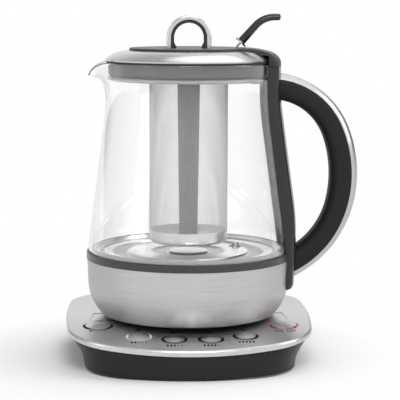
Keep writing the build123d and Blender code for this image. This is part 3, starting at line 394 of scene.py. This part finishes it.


def clear(name, ior, roughness=0.0, haze=0.0, absorption=0.0, edge=1.0, solid=0.0):
    """Clear glass or silicone, with painted shade where it is seen edge on when edge is below 1."""
    material, tree, shader = new_material(name)
    place = object_place(tree)
    waves = noise(tree, place, scale=WAVE_SCALE, detail=1.0)
    colour = mix_colors(tree, waves, grey(CLEAR_TONE - CLEAR_SPREAD), grey(CLEAR_TONE + CLEAR_SPREAD))
    # painted shade: below 1, edge darkens the colour of glass seen edge on, in place of the dark edges
    # that refraction and reflection give
    if edge < 1.0:
        slant = add(tree, "ShaderNodeLayerWeight")
        slant.inputs["Blend"].default_value = 0.5
        turned = ramp_between(tree, slant.outputs["Facing"], 0.0, 1.0, *EDGE_SHADE_SLANT)
        painted_edge_shade = mix_colors(tree, turned, grey(1.0), grey(edge))
        colour = calculate_vector(tree, "MULTIPLY", colour, painted_edge_shade)
    tree.links.new(colour, shader.inputs["Base Color"])
    shader.inputs["Transmission Weight"].default_value = 1.0 - solid
    shader.inputs["IOR"].default_value = ior
    if haze:
        grain = noise(tree, place, scale=HAZE_SCALE)
        rough = ramp_between(tree, grain, roughness, roughness + haze)
        tree.links.new(rough, shader.inputs["Roughness"])
    else:
        shader.inputs["Roughness"].default_value = roughness
        bump(tree, shader, waves, *WAVE_RELIEF)
    if absorption:
        inside = add(tree, "ShaderNodeVolumeAbsorption")
        inside.inputs["Color"].default_value = grey(0.0)
        inside.inputs["Density"].default_value = absorption
        tree.links.new(inside.outputs[0], tree.nodes["Material Output"].inputs["Volume"])
    return material


def around(along, across_radius, across_height):
    """Brushing whose lines run round the kettle's axis."""
    return lambda tree, k: turned_place(tree, along, across_radius * k, across_height * k)


def along_x(across):
    """Brushing whose lines run from left to right."""
    return lambda tree, k: stretched_place(tree, (22.0, across * k, across * k))


WALL_BRUSHING = around(along=3.0, across_radius=0.0, across_height=2600.0)
DOME_BRUSHING = around(along=3.0, across_radius=2200.0, across_height=0.0)
TUBE_BRUSHING = around(along=4.0, across_radius=0.0, across_height=1800.0)
STRAIGHT_BRUSHING = along_x(across=2200.0)
PLUG_STREAKS = 1.5, 0.0, 900.0    # along, and across by radius and by height
GLASS_ABSORPTION = 1.2            # per metre of glass


steel_cup_finish = brushed_steel(
    "cup_steel", WALL_BRUSHING, tone=0.53, roughness=0.50, anisotropy=0.25, lines=0.11)
steel_lid_finish = brushed_steel("lid_steel", DOME_BRUSHING, tone=0.57, roughness=0.24)
steel_floor_finish = floor_steel("floor_steel")
steel_plate_finish = brushed_steel(
    "plate_steel", STRAIGHT_BRUSHING, tone=0.60, roughness=0.34, radial=False, lines=0.12)
steel_cap_finish = brushed_steel("cap_steel", STRAIGHT_BRUSHING, tone=0.62, roughness=0.34, radial=False)
steel_mesh_finish = brushed_steel("mesh_steel", TUBE_BRUSHING, tone=0.70, roughness=0.30)
pale_steel_finish = brushed_steel("pale_steel", TUBE_BRUSHING, tone=0.90, roughness=0.34, metallic=0.5)
etched_finish = brushed_steel("etched_steel", TUBE_BRUSHING, tone=0.90, roughness=0.5, metallic=0.0)
housing_finish = moulded("housing_plastic", 0.012, roughness=0.36, specular=0.26)
ring_finish = moulded("ring_plastic", 0.035, roughness=0.30)
spine_finish = moulded("spine_plastic", 0.020, roughness=0.20, grain=0.00001, specular=0.4)
hub_finish = moulded("hub_plastic", 0.045, roughness=0.36, specular=0.15)
grey_finish = moulded("grey_plastic", 0.16, roughness=0.35, streaks=PLUG_STREAKS)
post_finish = moulded("post_plastic", 0.20, roughness=0.30, specular=0.4)
grip_finish = moulded("soft_grip", 0.012, roughness=0.58, grain=0.00006, specular=0.22)
rubber_finish = moulded("black_rubber", 0.012, roughness=0.6)
ring_light_finish = light_rings("light_ring")
red_light_finish = moulded("red_ring", 0.62, roughness=0.25, coat=0.3, tint=(1.0, 0.05, 0.10))
board_finish = moulded("circuit_board", 0.22, roughness=0.5, tint=(0.2, 1.0, 0.5))
switch_finish = moulded("switch_plastic", 0.05, roughness=0.5)
chrome_finish = polished("chrome", 0.60, roughness=0.12)
screw_finish = polished("screw_steel", 0.55, roughness=0.2)
brass_finish = polished("contact_brass", 0.8, roughness=0.2, tint=(1.0, 0.78, 0.42))
trim_finish = polished("silver_trim", 0.54, roughness=0.40, grain=30.0)
print_finish = moulded("dark_print", 0.02, roughness=0.7, specular=0.0)
white_print_finish = moulded("white_print", 0.92, roughness=0.6, specular=0.0)
# edge=0.80 is the depth of the painted shade at the glass's edges
glass_finish = clear("clear_glass", ior=1.46, absorption=GLASS_ABSORPTION, edge=0.80)
silicone_finish = clear("clear_silicone", ior=1.41, roughness=0.15, haze=0.12, solid=0.55)

FINISHES = {
    "lower_housing": housing_finish, "base_cover": housing_finish, "dock_socket": housing_finish,
    "kettle_foot": housing_finish, "kettle_socket": housing_finish, "top_plate": steel_plate_finish,
    "steel_cup": steel_cup_finish, "lid_shell": steel_lid_finish, "heater_plate": steel_floor_finish,
    "lid_clip": steel_cap_finish, "heat_bezels": ring_light_finish, "power_bezel": red_light_finish,
    "rubber_feet": rubber_finish, "cord_gland": rubber_finish, "seat_seal": rubber_finish,
    "base_screws": screw_finish, "loop_screws": screw_finish, "lever_pin": screw_finish,
    "temperature_sensor": screw_finish, "heating_element": screw_finish, "dock_contacts": brass_finish,
    "control_board": board_finish, "button_switches": switch_finish, "joint_ring": ring_finish,
    "spine": spine_finish, "lever_grip": spine_finish, "loop_liner": spine_finish,
    "lid_hub": hub_finish, "lid_plug": grey_finish, "infuser_post": post_finish,
    "lid_gasket": silicone_finish, "glass_seal": silicone_finish, "glass_vessel": glass_finish,
    "handle_grip": grip_finish, "handle_trim": trim_finish, "lid_loop": chrome_finish,
    "lever_rod": chrome_finish, "basket_mesh": steel_mesh_finish, "basket_cup": pale_steel_finish,
    "basket_collar": steel_mesh_finish, "power_button": steel_cap_finish,
}
HEAT_BUTTONS = ["heat_button_%d" % number for number in range(1, 6)]
for button in HEAT_BUTTONS:
    FINISHES[button] = steel_cap_finish


def paint_nodes():
    """Every CAD node gets its own finish."""
    for name, node in nodes.items():
        if not node.material_slots:
            node.data.materials.append(FINISHES[name])
        for material_slot in node.material_slots:
            material_slot.material = FINISHES[name]


# ---------------------------------------------------------------- glass
# heights are from the ring's top edge, radii from the kettle's axis
GLASS_BASE, GLASS_NECK, GLASS_WALL = 0.07778, 0.06368, 0.0023   # a hair inside what lies against it
GLASS_CONE_LOW, GLASS_CONE_HIGH = 0.004, 0.1127
GLASS_SEAT, GLASS_TOP = -0.0044, 0.1453
GLASS_LOW_ROUND, GLASS_HIGH_ROUND = 0.060, 0.280     # radii of the bends above seat and below neck
GLASS_COLUMNS = 288
WALL_STEP, ROUND_STEPS, LIP_STEPS = 0.004, 14, 26
SPOUT_ROOT = 0.118         # where the pouring lip begins to leave the wall
ROOT_GAP = 0.001           # kept free below the root by the points of the straight wall
SPOUT_HALF_ANGLE = radians(27)
SPOUT_BLEND = 2.3          # how quickly the lip fades into the round neck
SPOUT_DROP = 3.0           # and how late its edge begins to fall
LIP_THINNING = 0.75
RIM_ROUND = 0.35           # rise of the fused rim, as a share of the wall
FINE_SHARE = 0.55          # spacing of the columns at the lip, as a share of the mean spacing
# radii and heights up the middle of the lip
SPOUT_LINE = ((0.0646, 0.1237), (0.0657, 0.1278), (0.0675, 0.1315), (0.0705, 0.1337), (0.0738, 0.1344),
              (0.0776, 0.1356))


def spline_through(points, count):
    """Smooth line through points, in equal steps of its parameter (Catmull-Rom)."""
    ends = [2 * Vector(points[0]) - Vector(points[1])] + [Vector(p) for p in points]
    ends.append(2 * ends[-1] - ends[-2])
    out = []
    for k in range(count + 1):
        at = k / count * (len(points) - 1)
        i = min(int(at), len(points) - 2)
        t = at - i
        p0, p1, p2, p3 = ends[i:i + 4]
        out.append(0.5 * (2 * p1 + (p2 - p0) * t + (2 * p0 - 5 * p1 + 4 * p2 - p3) * t * t
                          + (3 * p1 - p0 - 3 * p2 + p3) * t ** 3))
    return out


def spout_share(angle):
    """1 at the middle of the pouring lip, where the angle is 0, and 0 away from it."""
    away = abs(angle) / SPOUT_HALF_ANGLE
    return (1 - away * away) ** SPOUT_BLEND if away < 1 else 0.0


def radius_at(line, height):
    """Radius of a line of (radius, height) points at a height."""
    for (r0, z0), (r1, z1) in zip(line, line[1:]):
        if z0 <= height <= z1 and z1 > z0:
            return r0 + (r1 - r0) * (height - z0) / (z1 - z0)
    return line[-1][0]


def glass_outside():
    """Points of the glass's outer face, row by row from its seat, its column angles and wall rows."""
    whole = rounded_line(
        [(GLASS_BASE, GLASS_SEAT), (GLASS_BASE, GLASS_CONE_LOW), (GLASS_NECK, GLASS_CONE_HIGH),
         (GLASS_NECK, GLASS_TOP)], [GLASS_LOW_ROUND, GLASS_HIGH_ROUND], ROUND_STEPS)
    wall = [p for p in finely(whole, WALL_STEP) if p[1] < SPOUT_ROOT - ROOT_GAP]
    root = (radius_at(whole, SPOUT_ROOT), SPOUT_ROOT)
    spout = spline_through([root] + list(SPOUT_LINE), LIP_STEPS)
    turns = [j / GLASS_COLUMNS * 2 - 1 for j in range(GLASS_COLUMNS)]
    angles = [turn * pi * (FINE_SHARE + (1 - FINE_SHARE) * turn ** 2) for turn in turns]
    points = []
    for radius, height in wall:
        points += [Vector((-radius * cos(angle), radius * sin(angle), height)) for angle in angles]
    for k in range(LIP_STEPS + 1):
        level = SPOUT_ROOT + (GLASS_TOP - SPOUT_ROOT) * k / LIP_STEPS
        straight = radius_at(whole, level)
        for angle in angles:
            share = spout_share(angle)
            radius = straight + (spout[k].x - straight) * share
            height = level + (spout[k].y - level) * share ** SPOUT_DROP
            points.append(Vector((-radius * cos(angle), radius * sin(angle), height)))
    return points, angles, len(wall)


def glass_inside(outer, angles, wall_rows):
    """Points of the inner face, thinner along the drawn lip."""
    columns = GLASS_COLUMNS
    rows = len(outer) // columns
    points = []
    for i in range(rows):
        along_lip = max(0, i - wall_rows) / LIP_STEPS
        for j in range(columns):
            here = outer[i * columns + j]
            up = outer[min(i + 1, rows - 1) * columns + j] - outer[max(i - 1, 0) * columns + j]
            side = outer[i * columns + (j + 1) % columns] - outer[i * columns + (j - 1) % columns]
            normal = side.cross(up).normalized()
            if normal.dot(Vector((here.x, here.y, 0))) < 0:
                normal = -normal
            thickness = GLASS_WALL * (1 - LIP_THINNING * spout_share(angles[j]) * along_lip)
            points.append(here - normal * thickness)
    return points


def glass_vessel():
    """Blown glass: straight-sided cone with a neck, whose rim is drawn out into a pouring lip."""
    outer, angles, wall_rows = glass_outside()
    inner = glass_inside(outer, angles, wall_rows)
    columns = GLASS_COLUMNS
    rows = len(outer) // columns
    rim = []
    for out, into, below in zip(outer[-columns:], inner[-columns:], outer[-2 * columns:-columns]):
        rise = (out - into).length * RIM_ROUND
        rim.append((out + into) / 2 + (out - below).normalized() * rise)
    # rows run up the outside, over the rim and down the inside
    inside = []
    for i in reversed(range(rows)):
        inside += inner[i * columns:(i + 1) * columns]
    points = [at_axis(*p) for p in outer + rim + inside]
    faces = grid_faces(2 * rows + 1, columns)
    piece = mesh_piece("glass_body", points, faces, glass_finish, "kettle")
    sharpen(piece)
    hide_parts("glass_vessel")


# ---------------------------------------------------------------- infuser mesh
MESH_CELLS = 88            # diamonds in one row round the tube
MESH_OPEN = 0.93           # a hole's share of its diamond
MESH_SHEET = 0.0003
DIAMOND = ((0, -0.5), (0.5, 0), (0, 0.5), (-0.5, 0))     # corners, in columns and rows


def infuser_mesh():
    """Etched steel sheet with rows of diamond holes, rolled into a tube."""
    low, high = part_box("basket_mesh")
    radius = (high.x - low.x) / 2 - MESH_SHEET / 2
    middle_x, middle_y = (low.x + high.x) / 2, (low.y + high.y) / 2
    rows = int((high.z - low.z) / (2 * pi * radius / MESH_CELLS))
    row_height = (high.z - low.z) / rows
    points, faces, corners = [], [], {}

    def new_point(column, row, out):
        angle = 2 * pi * column / MESH_CELLS
        r = radius + out * MESH_SHEET / 2
        points.append((middle_x + r * cos(angle), middle_y + r * sin(angle), low.z + row * row_height))
        return len(points) - 1

    def shared(column, row, out):
        key = (round(column * 2) % (2 * MESH_CELLS), round(row * 2), out)
        if key not in corners:
            corners[key] = new_point(column, row, out)
        return corners[key]

    cells = [(c, r + 0.5) for r in range(rows) for c in range(MESH_CELLS)]
    cells += [(c + 0.5, r) for r in range(1, rows) for c in range(MESH_CELLS)]
    for c, r in cells:
        rim, hole = {}, {}
        for out in (1, -1):
            rim[out] = [shared(c + dc, r + dr, out) for dc, dr in DIAMOND]
            hole[out] = [new_point(c + dc * MESH_OPEN, r + dr * MESH_OPEN, out) for dc, dr in DIAMOND]
        for k in range(4):
            n = (k + 1) % 4
            faces.append((rim[1][k], rim[1][n], hole[1][n], hole[1][k]))
            faces.append((rim[-1][n], rim[-1][k], hole[-1][k], hole[-1][n]))
            faces.append((hole[1][k], hole[1][n], hole[-1][n], hole[-1][k]))
    # plain triangles close the two ends, where half cells are missing
    for row, inward in ((0, 0.5), (rows, -0.5)):
        for c in range(MESH_CELLS):
            for out in (1, -1):
                along_end = shared(c, row, out), shared(c + 1, row, out)
                faces.append((*along_end, shared(c + 0.5, row + inward, out)))
            edge = ((c, 1), (c, -1), (c + 1, -1), (c + 1, 1))
            faces.append(tuple(shared(column, row, out) for column, out in edge))
    piece = mesh_piece("infuser_mesh", points, faces, etched_finish, "basket", smooth=False)
    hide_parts("basket_mesh")


# ---------------------------------------------------------------- printed marks
PRINT_THICKNESS = 0.00006
PRINT_STEPS = 3            # pieces of each curve of a letter
MARK_SIZE = 0.0040
MARK_STRETCH = 2.2         # printed tall, to be read from the front at a low angle
BUTTON_MARKS = ("100", "70", "80", "90", "95")
MARK_BEHIND = 0.0142       # from a button's middle back to its number
DOTS_BEFORE = 0.0135       # and forward to its dots
DOT_RADIUS, SMALL_DOT, DOT_PITCH = 0.00085, 0.00045, 0.0026
DOT_SIDES = 14
ABOVE_PLATE = 0.05         # from where a mark's place is sought on the plate
LEVEL_MARKS = (("1.2", 0.0673), ("1.0", 0.0494), ("0.5", 0.0175))    # with heights over the ring
LEVEL_SIZE = 0.0058
LEVEL_ANGLE = radians(51)  # round from the front towards the handle
LEVEL_GAP = 0.00024        # clear of the glass, whose wall bends a little there


def text_mesh(text, size):
    """Faces of a line of text, centred on the origin in the XY plane."""
    curve = bpy.data.curves.new("line_of_text", "FONT")
    curve.body = text
    curve.size = size
    curve.align_x, curve.align_y = "CENTER", "CENTER"
    curve.extrude = PRINT_THICKNESS / 2
    curve.resolution_u = PRINT_STEPS
    letters = bpy.data.objects.new("line_of_text", curve)
    mesh = bpy.data.meshes.new_from_object(letters)
    bpy.data.objects.remove(letters)
    bpy.data.curves.remove(curve)
    return mesh


def row_of_dots(filled):
    """Row of small printed discs along X, the first of them larger."""
    points, faces = [], []
    count = len(BUTTON_MARKS)
    for dot in range(count):
        x = (dot - (count - 1) / 2) * DOT_PITCH
        radius = DOT_RADIUS if dot < filled else SMALL_DOT
        first = len(points)
        for z in (-PRINT_THICKNESS / 2, PRINT_THICKNESS / 2):
            for k in range(DOT_SIDES):
                angle = 2 * pi * k / DOT_SIDES
                points.append((x + radius * cos(angle), radius * sin(angle), z))
        lower = [first + k for k in range(DOT_SIDES)]
        upper = [first + DOT_SIDES + k for k in range(DOT_SIDES)]
        faces += [tuple(reversed(lower)), tuple(upper)]
        for k in range(DOT_SIDES):
            n = (k + 1) % DOT_SIDES
            faces.append((lower[k], lower[n], upper[n], upper[k]))
    mesh = bpy.data.meshes.new("dots")
    mesh.from_pydata(points, [], faces)
    return mesh


def on_plate(x, y):
    """Place on the steel plate over a point of the floor, with local Z square to the plate."""
    above = Vector((x, y, PLATE_TOP + ABOVE_PLATE))
    _, spot, normal, _ = nodes["top_plate"].ray_cast(above, Vector((0, 0, -1)))
    across = Vector((1, 0, 0))
    along = normal.cross(across).normalized()
    turn = Matrix((across, along, normal)).transposed().to_4x4()
    return Matrix.Translation(spot + normal * PRINT_THICKNESS / 2) @ turn


def button_middle(name):
    """Middle of a button, seen from above."""
    low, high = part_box(name)
    return (low.x + high.x) / 2, (low.y + high.y) / 2


def printed(name, mesh, place, material, body):
    """Thin printed mark, set in its place by its mesh."""
    mesh.name = name
    mesh.transform(place)
    mesh.materials.clear()
    mesh.materials.append(material)
    piece = bpy.data.objects.new(name, mesh)
    bpy.context.scene.collection.objects.link(piece)
    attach(piece, body)


def plate_marks():
    """Numbers behind the heat buttons, rows of dots before them, and words at the power button."""
    tall = Matrix.Diagonal((1.0, MARK_STRETCH, 1.0, 1.0))

    def on_base(name, mesh, x, y):
        printed(name, mesh, on_plate(x, y) @ tall, print_finish, "base")

    for index, (button, number) in enumerate(zip(HEAT_BUTTONS, BUTTON_MARKS), start=1):
        x, y = button_middle(button)
        on_base("number_%d" % index, text_mesh(number + "\u00b0", MARK_SIZE), x, y + MARK_BEHIND)
        on_base("dots_%d" % index, row_of_dots(filled=index), x, y - DOTS_BEFORE)
    x, y = button_middle("power_button")
    on_base("power_words", text_mesh("ON  OFF", MARK_SIZE), x, y - DOTS_BEFORE - MARK_SIZE / 2)


def level_marks():
    """White capacity marks on the glass, each a number and a short line."""
    wall = [(GLASS_BASE, GLASS_CONE_LOW), (GLASS_NECK, GLASS_CONE_HIGH)]
    out = Vector((sin(LEVEL_ANGLE), -cos(LEVEL_ANGLE), 0))
    across = Vector((cos(LEVEL_ANGLE), sin(LEVEL_ANGLE), 0))
    turn = Matrix((across, Vector((0, 0, 1)), out)).transposed().to_4x4()
    for number, height in LEVEL_MARKS:
        spot = at_axis(0, 0, height) + out * (radius_at(wall, height) + LEVEL_GAP)
        mesh = text_mesh(number + " -", LEVEL_SIZE)
        printed("level_" + number, mesh, Matrix.Translation(spot) @ turn, white_print_finish, "kettle")


# ---------------------------------------------------------------- stage, light and camera
VIEW_TURN = radians(2.5)   # to the right of straight ahead
CAMERA_FROM_AXIS = Vector((-0.0466, -1.2742))
CAMERA_HEIGHT = 0.2801
CAMERA_PITCH = radians(7.06)
CAMERA_ROLL = radians(0.215)
LENS_MM = 148.5
SENSOR_MM = 36.0
CLIP_NEAR, CLIP_FAR = 0.05, 60.0


def camera():
    """Camera at the photograph's place, with its small roll."""
    data = bpy.data.cameras.new("camera")
    data.lens = LENS_MM
    data.sensor_width = SENSOR_MM
    data.clip_start, data.clip_end = CLIP_NEAR, CLIP_FAR
    eye = bpy.data.objects.new("camera", data)
    level = cos(CAMERA_PITCH)
    forward = Vector((sin(VIEW_TURN) * level, cos(VIEW_TURN) * level, -sin(CAMERA_PITCH)))
    right = forward.cross(Vector((0, 0, 1))).normalized()
    up = right.cross(forward)
    turn = Matrix((right, up, -forward)).transposed() @ Matrix.Rotation(CAMERA_ROLL, 3, "Z")
    spot = Vector((AXIS_X + CAMERA_FROM_AXIS.x, AXIS_Y + CAMERA_FROM_AXIS.y, CAMERA_HEIGHT))
    eye.matrix_world = Matrix.Translation(spot) @ turn.to_4x4()
    bpy.context.scene.collection.objects.link(eye)
    bpy.context.scene.camera = eye


def seen_ray(tree):
    """1 for rays that look: from the camera, or by reflection or through glass."""
    path = add(tree, "ShaderNodeLightPath")
    kinds = "Is Camera Ray", "Is Glossy Ray", "Is Transmission Ray"
    return largest(tree, [path.outputs[kind] for kind in kinds])


WORLD_LIGHT = 0.55         # strength of the white world as a lamp
# darker parts of the studio, seen in reflections: direction, start and end of the card by cosine, depth
CARDS = (
    ((0.87, 0.50, 0.0), 0.60, 0.95, 0.80),
    ((-0.87, 0.50, 0.0), 0.66, 0.97, 0.70),
    ((-0.25, 0.0, 0.97), 0.45, 0.85, 0.42),
)
THROUGH_GLASS = 0.10       # share of that darkness that shows through glass


def world():
    """White background; in reflections the studio has dark cards at its sides and a darker ceiling."""
    shade = bpy.data.worlds.new("studio")
    shade.use_nodes = True
    tree = shade.node_tree
    tree.nodes.clear()
    lit = add(tree, "ShaderNodeBackground")
    lit.inputs["Color"].default_value = grey(1.0)
    lit.inputs["Strength"].default_value = WORLD_LIGHT
    direction = add(tree, "ShaderNodeTexCoord").outputs["Generated"]
    cards = []
    for aim, start, end, depth in CARDS:
        facing = calculate_vector(tree, "DOT_PRODUCT", direction, aim, result="Value")
        cards.append(ramp_between(tree, facing, 0.0, depth, start, end))
    path = add(tree, "ShaderNodeLightPath")
    through = calculate(tree, "MULTIPLY", path.outputs["Is Transmission Ray"], THROUGH_GLASS)
    by_ray = calculate(tree, "MAXIMUM", path.outputs["Is Glossy Ray"], through)
    dark = calculate(tree, "MULTIPLY", largest(tree, cards), by_ray)
    seen = add(tree, "ShaderNodeBackground")
    tree.links.new(mix_colors(tree, dark, grey(1.0), grey(0.0)), seen.inputs["Color"])
    seen.inputs["Strength"].default_value = 1.0
    mix = add(tree, "ShaderNodeMixShader")
    tree.links.new(seen_ray(tree), mix.inputs["Fac"])
    tree.links.new(lit.outputs[0], mix.inputs[1])
    tree.links.new(seen.outputs[0], mix.inputs[2])
    out = add(tree, "ShaderNodeOutputWorld")
    tree.links.new(mix.outputs[0], out.inputs["Surface"])
    bpy.context.scene.world = shade


FLOOR_SIZE = 6.0           # half its side
FLOOR_TONE, FLOOR_ROUGHNESS = 0.85, 0.9
FLOOR_NEAR, FLOOR_FAR = 0.09, 0.19     # distances between which the paper turns to pure white
FLOOR_MIDDLE = (-0.035, -0.01, 0.0)    # from here, as the shadow falls to the left


def floor():
    """Pale floor whose far part melts into the white background and which keeps the shadow."""
    mesh = bpy.data.meshes.new("floor")
    corners = [(x * FLOOR_SIZE, y * FLOOR_SIZE, 0) for x, y in ((-1, -1), (1, -1), (1, 1), (-1, 1))]
    mesh.from_pydata(corners, [], [(0, 1, 2, 3)])
    plane = bpy.data.objects.new("floor", mesh)
    plane.location = FLOOR_MIDDLE
    bpy.context.scene.collection.objects.link(plane)
    material, tree, shader = new_material("floor_paper")
    shader.inputs["Base Color"].default_value = grey(FLOOR_TONE)
    shader.inputs["Roughness"].default_value = FLOOR_ROUGHNESS
    shader.inputs["Specular IOR Level"].default_value = 0.0
    glow = add(tree, "ShaderNodeEmission")
    glow.inputs["Color"].default_value = grey(1.0)
    glow.inputs["Strength"].default_value = 1.0
    place = add(tree, "ShaderNodeTexCoord").outputs["Object"]
    away = calculate_vector(tree, "LENGTH", place, result="Value")
    white = ramp_between(tree, away, 0.0, 1.0, FLOOR_NEAR, FLOOR_FAR)
    mix = add(tree, "ShaderNodeMixShader")
    tree.links.new(calculate(tree, "MULTIPLY", seen_ray(tree), white), mix.inputs["Fac"])
    tree.links.new(shader.outputs[0], mix.inputs[1])
    tree.links.new(glow.outputs[0], mix.inputs[2])
    tree.links.new(mix.outputs[0], tree.nodes["Material Output"].inputs["Surface"])
    mesh.materials.append(material)


LAMP_AIM = Vector((0.0, 0.0, 0.13))    # about the middle of the kettle


def softbox(name, place, width, height, power):
    """Rectangular lamp, turned to the kettle."""
    data = bpy.data.lights.new(name, "AREA")
    data.shape = "RECTANGLE"
    data.size = width
    data.size_y = height
    data.energy = power
    lamp = bpy.data.objects.new(name, data)
    lamp.location = place
    lamp.rotation_euler = (LAMP_AIM - Vector(place)).to_track_quat("-Z", "Y").to_euler()
    bpy.context.scene.collection.objects.link(lamp)


def lights():
    """Large soft lamps, each with its place, width, height and watts."""
    softbox("key_front", (0.02, -0.85, 0.90), 0.5, 0.5, 5.5)
    softbox("key_right", (1.05, -0.15, 0.70), 0.5, 0.8, 3.8)
    softbox("fill_left", (-1.1, -0.6, 0.6), 0.5, 0.9, 2.2)
    softbox("top", (0.25, 0.25, 1.2), 0.8, 0.8, 3.0)


bpy.context.scene.view_settings.view_transform = "Standard"
paint_nodes()
glass_vessel()
infuser_mesh()
plate_marks()
level_marks()
world()
floor()
lights()
camera()
